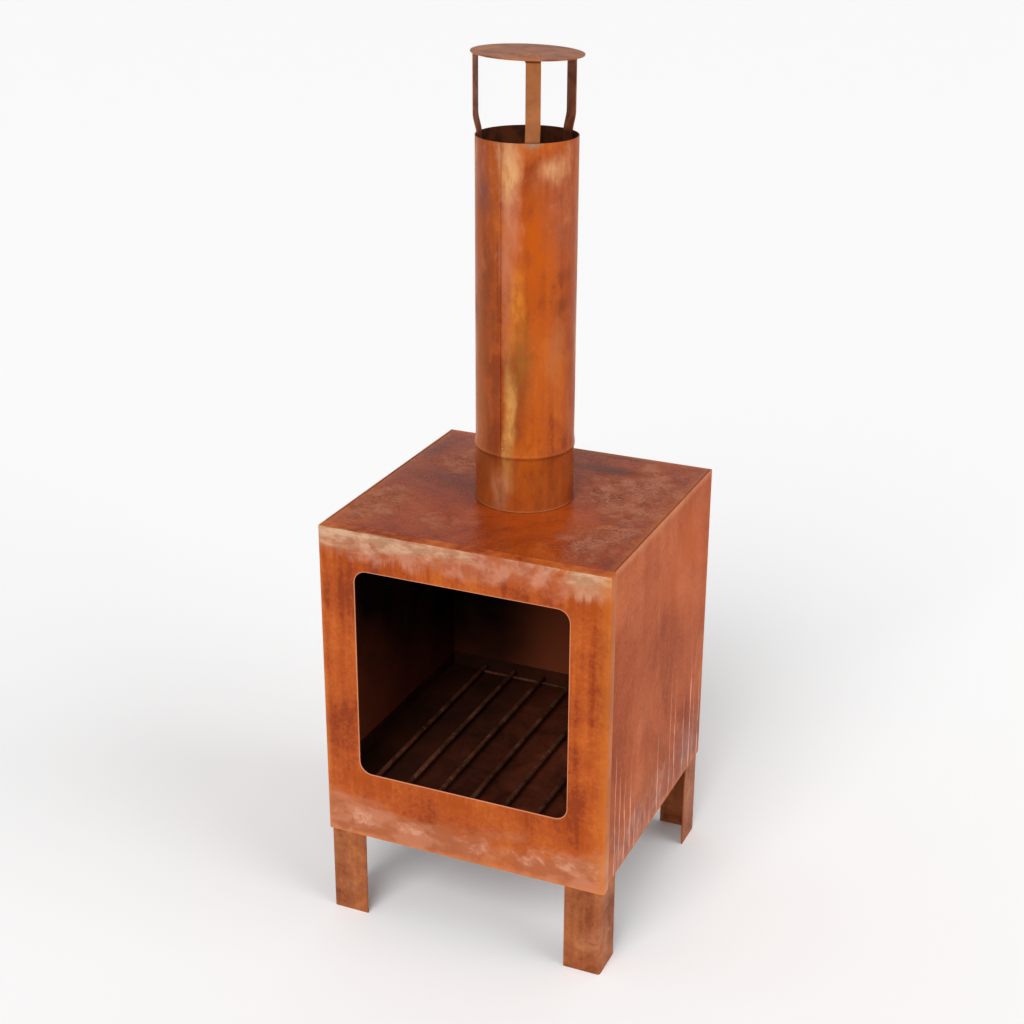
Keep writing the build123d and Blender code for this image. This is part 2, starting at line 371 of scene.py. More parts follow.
mesh = box_mesh(floor_low, floor_high)
turned_up = [edge for edge in mesh.edges if all(v.co.z < floor_low.z + MM for v in edge.verts)]
open_top = [face for face in mesh.faces if face.normal.z > 0.5]
bmesh.ops.delete(mesh, geom=open_top, context="FACES_ONLY")
bmesh.ops.bevel(mesh, geom=turned_up, offset=tray_fold, segments=fold_steps, profile=0.5,
                affect="EDGES", material=-1)
above_tray = (floor_low + floor_high) / 2 + Z * 100 * MM
finish_piece(mesh, "floor_tray", "firebox", burnt_steel_and_shade, ("floor_plate",),
             above_tray, sheet)

# ------------------------
# Side and back panels. Flat 1.5 mm sheets, a little slack between their welded edges.
# Rain has run down them and left thin pale lines, and the wet lower part has gone mauve.

slack = 0.3 * MM
skin_inset = 0.03 * MM
panel_cells = 20
side_gloss = 0.1
fold_depth = front_high.y
notch = 3 * MM
chamber_middle = Vector((0, 0, 0.3))

# How near a spot is to the borders of a box: 1 on the border, 0 further in than Width.
border, given, out = shade_group(
    "border",
    {"Place": (0, 0, 0), "Low": (-1, -1, -1), "High": (1, 1, 1), "Width": 0.02, "Ragged": 0.01},
    {"Mask": 1})
tree = border
gaps, nearest = gaps_within(tree, given["Place"], given["Low"], given["High"])
rag = less(tree, cloud(tree, given["Place"], 60.0, 5.0, 0.6), 0.5)
nearest = plus(tree, nearest, times(tree, rag, given["Ragged"]))
give(tree, out["Mask"], ease(tree, nearest, 0.0, given["Width"], 1.0, 0.0))

# A soft patch about a centre with its own reach along each axis and a wandering outline.
patch, given, out = shade_group(
    "patch",
    {"Place": (0, 0, 0), "Centre": (0, 0, 0), "Size": (0.05, 0.05, 0.05), "Ragged": 0.02,
     "Rag size": 30.0, "Broken": 0.4},
    {"Mask": 1})
tree = patch
wander = {"Vector": given["Place"], "Scale": given["Rag size"], "Detail": 4.0}
wander = place(tree, "ShaderNodeTexNoise", wander).outputs["Color"]
wander = {0: on_vectors(tree, "SUBTRACT", wander, (0.5, 0.5, 0.5)), "Scale": given["Ragged"]}
ragged = place(tree, "ShaderNodeVectorMath", wander, operation="SCALE").outputs["Vector"]
away = on_vectors(tree, "ADD", on_vectors(tree, "SUBTRACT", given["Place"], given["Centre"]), ragged)
span = on_vectors(tree, "LENGTH", on_vectors(tree, "DIVIDE", away, given["Size"]))
solid = ease(tree, span, 0.15, 1.25, 1.0, 0.0)
mottle = cloud(tree, given["Place"], times(tree, given["Rag size"], 2.2), 5.0, 0.65)
holes = times(tree, ease(tree, mottle, 0.42, 0.60), given["Broken"])
give(tree, out["Mask"], times(tree, solid, less(tree, 1.0, holes)))

# Lines that drops have left on their way down: each starts at its own height and wanders.
drip_lines, given, out = shade_group(
    "drip lines",
    {"Across": 0.0, "Height": 0.0, "Spacing": 0.02, "Line width": 0.0012, "Start low": 0.15,
     "Start high": 0.30},
    {"Mask": 1})
tree = drip_lines
sideways = times(tree, given["Across"], 9.0)
course = place(tree, "ShaderNodeCombineXYZ", {"X": sideways, "Y": given["Height"]}).outputs["Vector"]
wobble = less(tree, cloud(tree, course, 17.0, 4.0), 0.5)
across = plus(tree, given["Across"], times(tree, wobble, 0.012))
cell = place(tree, "ShaderNodeTexVoronoi",
             {"W": work_out(tree, "DIVIDE", across, given["Spacing"]), "Scale": 1.0, "Randomness": 0.85},
             voronoi_dimensions="1D")
off_line = times(tree, cell.outputs["Distance"], given["Spacing"])
line = ease(tree, off_line, 0.0, given["Line width"], 1.0, 0.0)
lot = place(tree, "ShaderNodeSeparateColor", {"Color": cell.outputs["Color"]}).outputs[0]
reach = less(tree, given["Start high"], given["Start low"])
start = plus(tree, given["Start low"], times(tree, reach, lot))
faded = ease(tree, less(tree, start, given["Height"]), -0.01, 0.08)
broken_up = ease(tree, cloud(tree, course, 60.0, 3.0), 0.22, 0.42)
give(tree, out["Mask"], times(tree, times(tree, line, faded), broken_up))


def panel_material(name, drips):
    """Side and back sheet: orange-brown above, mauve and pale below, orange along its foot."""
    material, tree, shader, spot = start_material(name)
    x, y, z = split_up(tree, spot)
    ground = use(tree, rust_ground, {
        "Place": spot, "Dark": paint(136, 54, 14), "Middle": paint(163, 70, 14),
        "Bright": paint(188, 88, 16), "Cloud size": 5.0, "Run size": 34.0, "Runs": 0.2, "Grain": 0.5})
    haze = use(tree, oxide_film, {
        "Place": stretch(tree, spot, (1, 1, 0.6)), "Base": ground["Colour"],
        "Film": paint(166, 86, 40), "Deep film": paint(142, 66, 24),
        "Reach": ease(tree, z, 0.14, 0.44, 0.62, 0.46), "Patch size": 7.0, "Thickness": 0.65})
    fine_haze = use(tree, oxide_film, {
        "Place": stretch(tree, spot, (1, 1, 0.4), (0.1, 0.2, 0)), "Base": haze["Colour"],
        "Film": paint(188, 108, 56), "Deep film": paint(136, 64, 26), "Reach": 0.46,
        "Patch size": 34.0, "Thickness": 0.5})
    warm = use(tree, patch, {
        "Place": spot, "Centre": (0, 0.10, 0.42), "Size": (1, 0.13, 0.10), "Ragged": 0.12,
        "Rag size": 9.0, "Broken": 0.35})
    warmed = tint(tree, warm["Mask"], 0.65, fine_haze["Colour"], paint(188, 84, 18))
    washed = use(tree, oxide_film, {
        "Place": stretch(tree, spot, (1, 1, 0.7)), "Base": warmed, "Film": paint(178, 118, 98),
        "Deep film": paint(132, 82, 70), "Reach": ease(tree, z, 0.11, 0.26, 0.66, 0.28),
        "Patch size": 22.0, "Thickness": 0.65})
    damp = use(tree, patch, {
        "Place": spot, "Centre": (0.12, 0.12, 0.15), "Size": (0.10, 0.10, 0.055), "Ragged": 0.05,
        "Rag size": 24.0, "Broken": 0.5})
    damped = tint(tree, damp["Mask"], 0.6, washed["Colour"], paint(126, 88, 84))
    lines = use(tree, drip_lines, {
        "Across": y if drips == "Y" else x, "Height": z, "Spacing": 0.019, "Line width": 0.0017,
        "Start low": 0.15, "Start high": 0.31})
    dripped = tint(tree, lines["Mask"], 0.85, damped, paint(226, 170, 148))
    foot = use(tree, border, {
        "Place": spot, "Low": (-1, -1, back_low.z - 2 * MM), "Width": 0.014, "Ragged": 0.012})
    footed = tint(tree, foot["Mask"], 0.5, dripped, paint(196, 108, 48))
    # Pale band along the top: partly edge wear, partly a painted highlight along the rounded top edge.
    rim = use(tree, border, {
        "Place": spot, "Low": (-1, -1, -1), "High": (1, 1, back_high.z), "Width": 0.010, "Ragged": 0.008})
    rimmed = tint(tree, rim["Mask"], 0.45, footed, paint(208, 138, 96))
    # Inside the chamber: soot, with a painted patch of light on the right.
    soot_and_painted_light = use(tree, chamber_soot_and_light, {"Place": spot, "Base": rimmed})
    rough = ease(tree, ground["Tone"], 0.3, 0.7, 0.55, 0.40)
    rough = plus(tree, rough, times(tree, soot_and_painted_light["Mask"], 0.25))
    surface(tree, shader, spot, soot_and_painted_light["Colour"], rough, bump=0.35, Waves=0.5, Pits=0.02)
    shader.inputs["Specular IOR Level"].default_value = side_gloss
    return material


def flat_sheet(low, high, thin_axis):
    """A grid over the outer face of a flat panel, bowed inwards a little between its edges."""
    size, middle = high - low, (low + high) / 2
    outer = high[thin_axis] - skin_inset if middle[thin_axis] > 0 else low[thin_axis] + skin_inset
    wide_axis = 1 if thin_axis == 0 else 0
    mesh = bmesh.new()
    bmesh.ops.create_grid(mesh, x_segments=panel_cells, y_segments=panel_cells, size=0.5)
    for vert in mesh.verts:
        along, up = vert.co.x, vert.co.y
        uneven = 1 + noise.noise(Vector((along * 3, up * 3, outer * 9)))
        bow = slack * cos(pi * along) * cos(pi * up) * uneven
        vert.co[wide_axis] = middle[wide_axis] + along * (size[wide_axis] - 2 * skin_inset)
        vert.co[thin_axis] = outer - (bow if outer > 0 else -bow)
        vert.co.z = middle.z + up * (size.z - 2 * skin_inset)
    return mesh


side_rust = panel_material("side rust", "Y")
for side in ("left_side_panel", "right_side_panel"):
    low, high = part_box(side)
    mesh = flat_sheet(low, high, 0)
    notch_z = high.z - notch
    for cut, normal in ((Vector((0, fold_depth, 0)), Y), (Vector((0, 0, notch_z)), Z)):
        bmesh.ops.bisect_plane(mesh, geom=mesh.verts[:] + mesh.edges[:] + mesh.faces[:],
                               plane_co=cut, plane_no=normal)
    under_fold = [face for face in mesh.faces
                  if face.calc_center_median().y < fold_depth and face.calc_center_median().z > notch_z]
    bmesh.ops.delete(mesh, geom=under_fold, context="FACES")
    finish_piece(mesh, f"{side}_sheet", "firebox", side_rust, (side,), chamber_middle, sheet)

back_rust = panel_material("back rust", "X")
mesh = flat_sheet(back_low, back_high, 1)
finish_piece(mesh, "back_panel_sheet", "firebox", back_rust, ("back_panel",),
             chamber_middle, sheet)

# ------------------------
# Front panel. One 1.5 mm sheet with the mouth sheared out of it. Its left, right and top
# edges are folded back over the box round a soft bend, and spot welded there.

front_fold = 3 * MM
mouth_corner = 15 * MM
corner_steps = 8
mouth_low = Vector((-0.1305, front_low.y, 0.196))
mouth_high = Vector((0.1285, front_low.y, 0.454))
mouth_middle, mouth_half = (mouth_low + mouth_high) / 2, (mouth_high - mouth_low) / 2
tick_row = mouth_half.z + 10 * MM

front_rust, tree, shader, spot = start_material("front rust")
x, y, z = split_up(tree, spot)
ground = use(tree, rust_ground, {
    "Place": spot, "Dark": paint(134, 52, 20), "Middle": paint(166, 74, 28), "Bright": paint(184, 92, 34),
    "Cloud size": 8.0, "Run size": 52.0,
    "Runs": ease(tree, z, front_low.z + 0.03, front_low.z + 0.11, 0.16, 0.66), "Grain": 0.55})
facing = ease(tree, y, front_low.y + 0.5 * MM, front_low.y + 3 * MM, 1.0, 0.0)
stood_wet = ease(tree, z, front_high.z - 0.064, front_high.z - 0.014, 0.22, 0.76)
mauve = use(tree, oxide_film, {
    "Place": stretch(tree, spot, (0.9, 1, 0.7), (0.5, 0, 0)), "Base": ground["Colour"],
    "Film": paint(194, 132, 106), "Deep film": paint(166, 92, 64),
    "Reach": times(tree, facing, stood_wet), "Patch size": 15.0, "Thickness": 0.7})
off_middle = work_out(tree, "ABSOLUTE", plus(tree, x, -0.035))
to_ends = ease(tree, off_middle, 0.05, 0.17, 0.0, 0.14)
crept = ease(tree, z, front_high.z - 0.046, front_high.z - 0.003, 0.16, 0.62)
crept = plus(tree, crept, to_ends)
cream = use(tree, oxide_film, {
    "Place": stretch(tree, spot, (0.55, 1, 1.4), (0.2, 0, 0)), "Base": mauve["Colour"],
    "Film": paint(204, 170, 138), "Deep film": paint(168, 128, 98),
    "Reach": times(tree, facing, crept), "Patch size": 27.0, "Thickness": 0.72})
worn_corner = use(tree, patch, {
    "Place": spot, "Centre": (0.150, front_low.y, 0.480), "Size": (0.030, 1, 0.016), "Ragged": 0.02,
    "Rag size": 40.0})
cornered = tint(tree, worn_corner["Mask"], 0.6, cream["Colour"], paint(190, 140, 104))
ticks = cloud(tree, stretch(tree, spot, (1, 1, 0.12)), 130.0, 3.0)
tick_gaps = cloud(tree, stretch(tree, spot, (1, 1, 0.3), (0, 0, 0.2)), 14.0, 1.0)
off_mouth = work_out(tree, "ABSOLUTE", less(tree, z, mouth_middle.z))
off_mouth = work_out(tree, "ABSOLUTE", less(tree, off_mouth, tick_row))
tick_share = ease(tree, off_mouth, 0.002, 0.022, 0.9, 0.0)
tick_share = times(tree, ease(tree, ticks, 0.49, 0.60), tick_share)
tick_share = times(tree, tick_share, ease(tree, tick_gaps, 0.42, 0.54))
ticked = cover(tree, tick_share, cornered, paint(158, 66, 14))
foot_film = use(tree, oxide_film, {
    "Place": stretch(tree, spot, (0.7, 1, 1.3), (0.4, 0, 0)), "Base": ticked,
    "Film": paint(184, 118, 88), "Deep film": paint(162, 92, 60),
    "Reach": ease(tree, z, front_low.z + 0.012, front_low.z + 0.100, 0.76, 0.28),
    "Patch size": 12.0, "Thickness": 0.8})
off_shore = work_out(tree, "ABSOLUTE", less(tree, z, front_low.z + 0.024))
shore = use(tree, oxide_film, {
    "Place": stretch(tree, spot, (0.8, 1, 1.1), (0.9, 0, 0)), "Base": foot_film["Colour"],
    "Film": paint(208, 152, 122), "Deep film": paint(176, 108, 80),
    "Reach": ease(tree, off_shore, 0.0, 0.034, 0.56, 0.30), "Patch size": 30.0, "Thickness": 0.8})
right_gold = use(tree, border, {
    "Place": spot, "Low": (-1, -1, -1), "High": (front_high.x, 1, 1), "Width": 0.020, "Ragged": 0.020})
golden = tint(tree, right_gold["Mask"], 0.45, shore["Colour"], paint(196, 112, 42))
# Pale band on the left and bottom: partly edge wear, partly a painted highlight along the folded left edge.
rim = use(tree, border, {
    "Place": spot, "Low": (front_low.x, -1, front_low.z), "High": (1, 1, 1), "Width": 0.007,
    "Ragged": 0.010})
rimmed = tint(tree, rim["Mask"], 0.4, golden, paint(210, 124, 62))
# Painted highlight: a pale pinkish line along the mouth's sheared edge, where light catches it.
from_middle = on_vectors(tree, "ABSOLUTE", on_vectors(tree, "SUBTRACT", spot, mouth_middle))
flats = mouth_half + Y * sheet - (X + Z) * mouth_corner
past_flats = on_vectors(tree, "MAXIMUM", on_vectors(tree, "SUBTRACT", from_middle, flats))
off_rim = on_vectors(tree, "LENGTH", past_flats)
cut = ease(tree, off_rim, mouth_corner + 0.4 * MM, mouth_corner + 1.4 * MM, 0.7, 0.0)
# Inside the chamber: soot, with a painted patch of light on the right.
soot_and_painted_light = use(tree, chamber_soot_and_light, {"Place": spot, "Base": cover(tree, cut, rimmed, paint(222, 152, 112))})
rough = ease(tree, ground["Tone"], 0.3, 0.7, 0.48, 0.32)
rough = plus(tree, rough, times(tree, cream["Mask"], 0.18))
surface(tree, shader, spot, soot_and_painted_light["Colour"], rough, bump=0.35, Waves=0.5, Pits=0.02)


def on_front(edge):
    """Whether an edge lies in the panel's front face."""
    return all(v.co.y < front_low.y + MM for v in edge.verts)


def on_top(edge):
    """Whether an edge lies along the panel's top."""
    return all(v.co.z > front_high.z - MM for v in edge.verts)


def runs_along(edge, axis):
    """Whether an edge is parallel to an axis."""
    return abs((edge.verts[1].co - edge.verts[0].co).normalized().dot(axis)) > 0.9


mesh = box_mesh(front_low, front_high)
folds = [edge for edge in mesh.edges
         if (on_front(edge) and (runs_along(edge, Z) or on_top(edge)))
         or (on_top(edge) and runs_along(edge, Y))]
open_faces = [face for face in mesh.faces if face.normal.y > 0.5 or face.normal.z < -0.5]
bmesh.ops.delete(mesh, geom=open_faces, context="FACES_ONLY")
bmesh.ops.bevel(mesh, geom=folds, offset=front_fold, segments=fold_steps, profile=0.5,
                affect="EDGES", material=-1)
flat = max(mesh.faces, key=lambda face: face.calc_area())
around = flat.edges[:]
bmesh.ops.delete(mesh, geom=[flat], context="FACES_ONLY")
outline = ((mouth_low.x, mouth_low.z), (mouth_high.x, mouth_low.z),
           (mouth_high.x, mouth_high.z), (mouth_low.x, mouth_high.z))
corners = [mesh.verts.new((corner_x, front_low.y, corner_z)) for corner_x, corner_z in outline]
mesh.faces.new(corners)
bmesh.ops.bevel(mesh, geom=corners, offset=mouth_corner, segments=corner_steps, profile=0.5,
                affect="VERTICES", material=-1)
blank = [face for face in mesh.faces
         if all(mouth_low.x - MM < v.co.x < mouth_high.x + MM for v in face.verts)
         and all(abs(v.co.y - front_low.y) < 0.01 * MM for v in face.verts)]
mouth_rim = [edge for face in blank for edge in face.edges]
bmesh.ops.delete(mesh, geom=blank, context="FACES_ONLY")
bmesh.ops.triangle_fill(mesh, use_beauty=True, edges=around + mouth_rim)
finish_piece(mesh, "front_panel_sheet", "firebox", front_rust, ("front_panel",),
             chamber_middle, sheet)

# ------------------------
# Top plate. Lies between the side panels with its left, right and back edges turned down.
# Rain stands on it, so it is a wet red-brown, with matte mauve fields of fine pits.

plate_fold = 2 * MM
collar_hole = 54.6 * MM
hole_facets = 64
flue_axis = Vector((0, 0.004, 0))
pipe_radius = 56.2 * MM

top_rust, tree, shader, spot = start_material("top rust")
ground = use(tree, rust_ground, {
    "Place": spot, "Dark": paint(118, 42, 15), "Middle": paint(148, 58, 18), "Bright": paint(170, 80, 28),
    "Cloud size": 8.0, "Run size": 30.0, "Runs": 0.0, "Grain": 0.45})
fields = (
    # middle, reach
    ((-0.145, -0.085, 0.502), (0.060, 0.090, 1)),
    ((-0.050, -0.095, 0.502), (0.052, 0.036, 1)),
    ((-0.105, 0.090, 0.502), (0.050, 0.080, 1)),
    ((0.120, 0.060, 0.502), (0.095, 0.130, 1)),
    ((0.130, -0.085, 0.502), (0.070, 0.085, 1)),
)
field = 0.0
for centre, size in fields:
    other = use(tree, patch, {
        "Place": spot, "Centre": centre, "Size": size, "Ragged": 0.10, "Rag size": 16.0, "Broken": 0.35})
    field = work_out(tree, "MAXIMUM", field, other["Mask"])
broad = use(tree, oxide_film, {
    "Place": spot, "Base": ground["Colour"], "Film": paint(172, 108, 82), "Deep film": paint(150, 82, 56),
    "Reach": ease(tree, field, 0.0, 0.8, 0.30, 0.76), "Patch size": 14.0, "Thickness": 0.8})
fitted = use(tree, oxide_film, {
    "Place": stretch(tree, spot, (1, 1, 1), (0.3, 0.1, 0)), "Base": broad["Colour"],
    "Film": paint(190, 130, 104), "Deep film": paint(110, 54, 36),
    "Reach": ease(tree, field, 0.0, 0.9, 0.36, 0.56), "Patch size": 120.0, "Thickness": 0.55})
stained = fitted["Colour"]
puddles = (((0.064, 0.118, 0.502), (0.046, 0.017, 1)), ((0.068, 0.163, 0.502), (0.046, 0.006, 1)))
for centre, size in puddles:
    puddle_mark = use(tree, patch, {
        "Place": spot, "Centre": centre, "Size": size, "Ragged": 0.012, "Rag size": 60.0, "Broken": 0.15})
    stained = cover(tree, puddle_mark["Mask"], stained, paint(98, 40, 22))
ridge = work_out(tree, "ABSOLUTE", less(tree, cloud(tree, spot, 26.0, 6.0, 0.62, 1.2), 0.5))
cracks = ease(tree, ridge, 0.004, 0.016, 0.75, 0.0)
cracks = times(tree, cracks, ease(tree, field, 0.15, 0.7))
stained = cover(tree, cracks, stained, paint(100, 40, 22))
wet = use(tree, patch, {
    "Place": spot, "Centre": (-0.020, -0.075, 0.502), "Size": (0.120, 0.070, 1), "Ragged": 0.06,
    "Rag size": 16.0})
stained = tint(tree, wet["Mask"], 0.55, stained, paint(152, 56, 14))
glow = use(tree, patch, {
    "Place": spot, "Centre": (0.055, -0.050, 0.502), "Size": (0.075, 0.060, 1), "Ragged": 0.06,
    "Rag size": 16.0})
glowing = tint(tree, glow["Mask"], 0.6, stained, paint(176, 76, 22))
off_axis = on_vectors(tree, "SUBTRACT", stretch(tree, spot, (1, 1, 0)), flue_axis)
off_axis = on_vectors(tree, "LENGTH", off_axis)
# Painted shadow: a dark ring on the plate round the foot of the pipe.
contact_shade_ring = ease(tree, off_axis, pipe_radius + 0.3 * MM, pipe_radius + 3.8 * MM, 0.7, 0.0)
glowing = cover(tree, contact_shade_ring, glowing, paint(92, 36, 18))
edges = use(tree, border, {
    "Place": spot, "Low": (plate_low.x, -1, -1), "High": (plate_high.x, plate_high.y, 1),
    "Width": 0.013, "Ragged": 0.014})
edged = tint(tree, edges["Mask"], 0.4, glowing, paint(188, 104, 54))
off_middle = work_out(tree, "ABSOLUTE", split_up(tree, spot)[0])
seam = ease(tree, off_middle, plate_high.x - 1.8 * MM, plate_high.x - 0.3 * MM, 0.0, 0.85)
edged = cover(tree, seam, edged, paint(78, 34, 20))
# Inside the chamber: soot, with a painted patch of light on the right.
soot_and_painted_light = use(tree, chamber_soot_and_light, {"Place": spot, "Base": edged})
rough = ease(tree, work_out(tree, "MAXIMUM", fitted["Mask"], broad["Mask"]), 0.0, 0.6, 0.22, 0.55)
rough = plus(tree, rough, times(tree, soot_and_painted_light["Mask"], 0.3))
surface(tree, shader, spot, soot_and_painted_light["Colour"], rough, bump=0.9, Waves=0.4, Lumps=0.32, Pits=0.25)

mesh = box_mesh(plate_low, plate_high)
open_faces = [face for face in mesh.faces if face.normal.z < -0.5 or face.normal.y < -0.5]
bmesh.ops.delete(mesh, geom=open_faces, context="FACES_ONLY")
turned_down = [edge for edge in mesh.edges if len(edge.link_faces) == 2 and all(
    v.co.z > plate_high.z - MM for v in edge.verts)]
bmesh.ops.bevel(mesh, geom=turned_down, offset=plate_fold, segments=fold_steps, profile=0.5,
                affect="EDGES", material=-1)
flat = max(mesh.faces, key=lambda face: face.calc_area())
around = flat.edges[:]
bmesh.ops.delete(mesh, geom=[flat], context="FACES_ONLY")
hole = bmesh.ops.create_circle(mesh, segments=hole_facets, radius=collar_hole)["verts"]
bmesh.ops.translate(mesh, verts=hole, vec=flue_axis + Z * plate_high.z)
hole_rim = [edge for edge in mesh.edges if all(v in hole for v in edge.verts)]
bmesh.ops.triangle_fill(mesh, use_beauty=True, edges=around + hole_rim)
finish_piece(mesh, "top_plate_sheet", "firebox", top_rust, ("top_plate",),
             chamber_middle, sheet)

# ------------------------
# Collar. A short rolled spigot with a flange, welded under the top plate. The loose pipe
# drops over it, so it shows only when the pipe is lifted.

collar_low, collar_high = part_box("flue_collar")
spigot_outside = 54.5 * MM
spigot_inside = 53.3 * MM
flange = 1.5 * MM
spin_steps = 96

collar_rust, tree, shader, spot = start_material("collar rust")
ground = use(tree, rust_ground, {
    "Place": spot, "Dark": paint(96, 46, 28), "Middle": paint(128, 66, 38), "Bright": paint(158, 92, 56),
    "Cloud size": 26.0, "Runs": 0.3, "Grain": 0.3})
scuffed = use(tree, oxide_film, {
    "Place": stretch(tree, spot, (1, 1, 0.25)), "Base": ground["Colour"], "Film": paint(150, 120, 104),
    "Deep film": paint(92, 62, 50), "Reach": 0.5, "Patch size": 60.0, "Thickness": 0.6})
surface(tree, shader, spot, scuffed["Colour"], 0.55, bump=0.5)

mesh = bmesh.new()
flange_edge = (collar_high.x - collar_low.x) / 2
outline = ((spigot_inside, collar_low.z), (flange_edge, collar_low.z), (flange_edge, collar_low.z + flange),
           (spigot_outside, collar_low.z + flange), (spigot_outside, collar_high.z),
           (spigot_inside, collar_high.z))
corners = [mesh.verts.new(flue_axis + Vector((radius, 0, height))) for radius, height in outline]
ring = [mesh.edges.new(pair) for pair in zip(corners, corners[1:] + corners[:1])]
bmesh.ops.spin(mesh, geom=corners + ring, cent=flue_axis, axis=Z, angle=2 * pi, steps=spin_steps,
               use_merge=True, use_duplicate=False)
finish_piece(mesh, "collar_spigot", "firebox", collar_rust, ("flue_collar",))
# ------------------------
# Pipe. Sheet rolled into a tube and lapped at a welded seam, with a bead rolled round it
# above the collar. It stands on the top plate and lifts off, and is the glossiest piece.

pipe_low, pipe_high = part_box("flue_pipe")
pipe_wall = 1.2 * MM
seam_turn = radians(-6)
seam_proud = 0.9 * MM
lap_turn = radians(1)
lap_dip = 0.5 * MM
pipe_edge = 0.2 * MM
bead = ((0.0, 0.0), (63.2, 0.0), (64.2, 0.35), (65.0, 0.9), (65.8, 1.0), (67.4, 1.0), (69.0, 0.9),
        (71.5, 0.6), (74.5, 0.25), (77.0, 0.05), (79.0, 0.0))
bead_middle = pipe_low.z + 67.2 * MM
bead_foot = pipe_low.z + 62.8 * MM
upper_rings = 14
flow = 0.4

pipe_rust, tree, shader, spot = start_material("pipe rust")
x, y, z = split_up(tree, spot)
turned = work_out(tree, "ARCTAN2", x, less(tree, flue_axis.y, y))
arc = times(tree, turned, pipe_radius)
unrolled = place(tree, "ShaderNodeCombineXYZ", {"X": arc, "Y": z, "Z": 0.0}).outputs["Vector"]
ground = use(tree, rust_ground, {
    "Place": spot, "Dark": paint(140, 58, 24), "Middle": paint(172, 80, 30), "Bright": paint(186, 94, 34),
    "Cloud size": 13.0, "Run size": 70.0, "Runs": 0.5, "Grain": 0.3})
skin = ground["Colour"]
drawn = stretch(tree, unrolled, (1, flow, 1))
marks = (
    # middle (mm round from the front, mm up), reach (mm round, mm up), raggedness, strength, colour
    # Painted shade: the dark brown band down the pipe's left flank.
    ((-30, 710), (24, 300), 0.030, 0.75, paint(128, 64, 34)),
    ((-34, 880), (17, 46), 0.030, 0.65, paint(124, 68, 62)),
    ((-40, 640), (14, 130), 0.030, 0.60, paint(158, 88, 38)),
    # Reddish rust, darkened further with painted shade down the pipe's right flank.
    ((92, 720), (26, 280), 0.030, 0.75, paint(138, 52, 22)),
    ((56, 840), (30, 80), 0.040, 0.65, paint(158, 84, 60)),
    ((54, 884), (26, 22), 0.030, 0.80, paint(216, 162, 116)),
    ((5, 850), (14, 100), 0.024, 0.80, paint(200, 130, 98)),
    ((3, 886), (13, 36), 0.024, 0.80, paint(220, 168, 110)),
    ((3, 760), (11, 110), 0.022, 0.65, paint(190, 114, 80)),
    ((32, 800), (27, 100), 0.020, 1.00, paint(184, 82, 14)),
    ((34, 640), (18, 120), 0.026, 0.65, paint(184, 86, 22)),
    ((13, 736), (11, 50), 0.026, 0.75, paint(210, 124, 42)),
    ((18, 668), (18, 64), 0.034, 0.65, paint(146, 92, 38)),
    # Painted highlight: the gold streak of the key light's reflection left of the middle.
    ((5, 600), (10, 90), 0.018, 0.85, paint(212, 158, 84)),
    ((-4, 530), (14, 30), 0.030, 0.90, paint(208, 152, 112)),
    ((26, 548), (19, 60), 0.030, 0.90, paint(198, 98, 26)),
    ((66, 736), (12, 12), 0.020, 0.70, paint(112, 54, 28)),
    ((58, 690), (15, 44), 0.030, 0.50, paint(162, 102, 66)),
    ((-3, 577), (3.2, 3.2), 0.002, 0.90, paint(110, 58, 34)),
    ((-3, 577), (1.5, 1.5), 0.001, 0.90, paint(226, 160, 110)),
)
for (across, up), (wide, tall), ragged, strength, colour in marks:
    mark = use(tree, patch, {
        "Place": drawn, "Centre": (across * MM, up * MM * flow, 0),
        "Size": (wide * MM, tall * MM * flow, 1), "Ragged": ragged, "Rag size": 34.0, "Broken": 0.5})
    skin = tint(tree, mark["Mask"], strength, skin, colour)
below_bead = ease(tree, z, pipe_low.z + 50 * MM, pipe_low.z + 85 * MM, 1.0, 0.0)
stain = cloud(tree, stretch(tree, unrolled, (1, 0.5, 1)), 34.0, 4.0, 0.6)
brown = cover(tree, ease(tree, stain, 0.35, 0.65), paint(142, 76, 36), paint(190, 120, 62))
skin = tint(tree, below_bead, 0.22, skin, brown)
# Painted highlight: a light line along the crest of the bead.
off_crest = work_out(tree, "ABSOLUTE", less(tree, z, bead_middle))
skin = cover(tree, ease(tree, off_crest, 0.6 * MM, 2.4 * MM, 0.08, 0.0), skin, paint(220, 150, 84))
# Painted shadow: a dark line under the bead's lower shoulder.
off_foot = work_out(tree, "ABSOLUTE", less(tree, z, bead_foot))
skin = cover(tree, ease(tree, off_foot, 0.4 * MM, 1.8 * MM, 0.32, 0.0), skin, paint(104, 52, 26))
blush = use(tree, oxide_film, {
    "Place": stretch(tree, unrolled, (1, 0.5, 1)), "Base": skin, "Film": paint(208, 146, 108),
    "Deep film": paint(166, 96, 66), "Reach": ease(tree, z, 0.70, 0.92, 0.36, 0.52),
    "Patch size": 34.0, "Thickness": 0.5})
heat = use(tree, patch, {
    "Place": unrolled, "Centre": (28 * MM, pipe_high.z, 0), "Size": (13 * MM, 6 * MM, 1),
    "Ragged": 0.004, "Rag size": 90.0})
welded = tint(tree, heat["Mask"], 0.8, blush["Colour"], paint(146, 128, 108))
lit_edge = ease(tree, z, pipe_low.z, pipe_low.z + 3 * MM, 0.5, 0.0)
edged = cover(tree, lit_edge, welded, paint(206, 140, 84))
off_axis = on_vectors(tree, "SUBTRACT", stretch(tree, spot, (1, 1, 0)), flue_axis)
off_axis = on_vectors(tree, "LENGTH", off_axis)
bore = ease(tree, off_axis, pipe_radius - pipe_wall * 0.8, pipe_radius - pipe_wall * 0.4, 1.0, 0.0)
bore_soot = ease(tree, cloud(tree, unrolled, 40.0, 5.0), 0.35, 0.65)
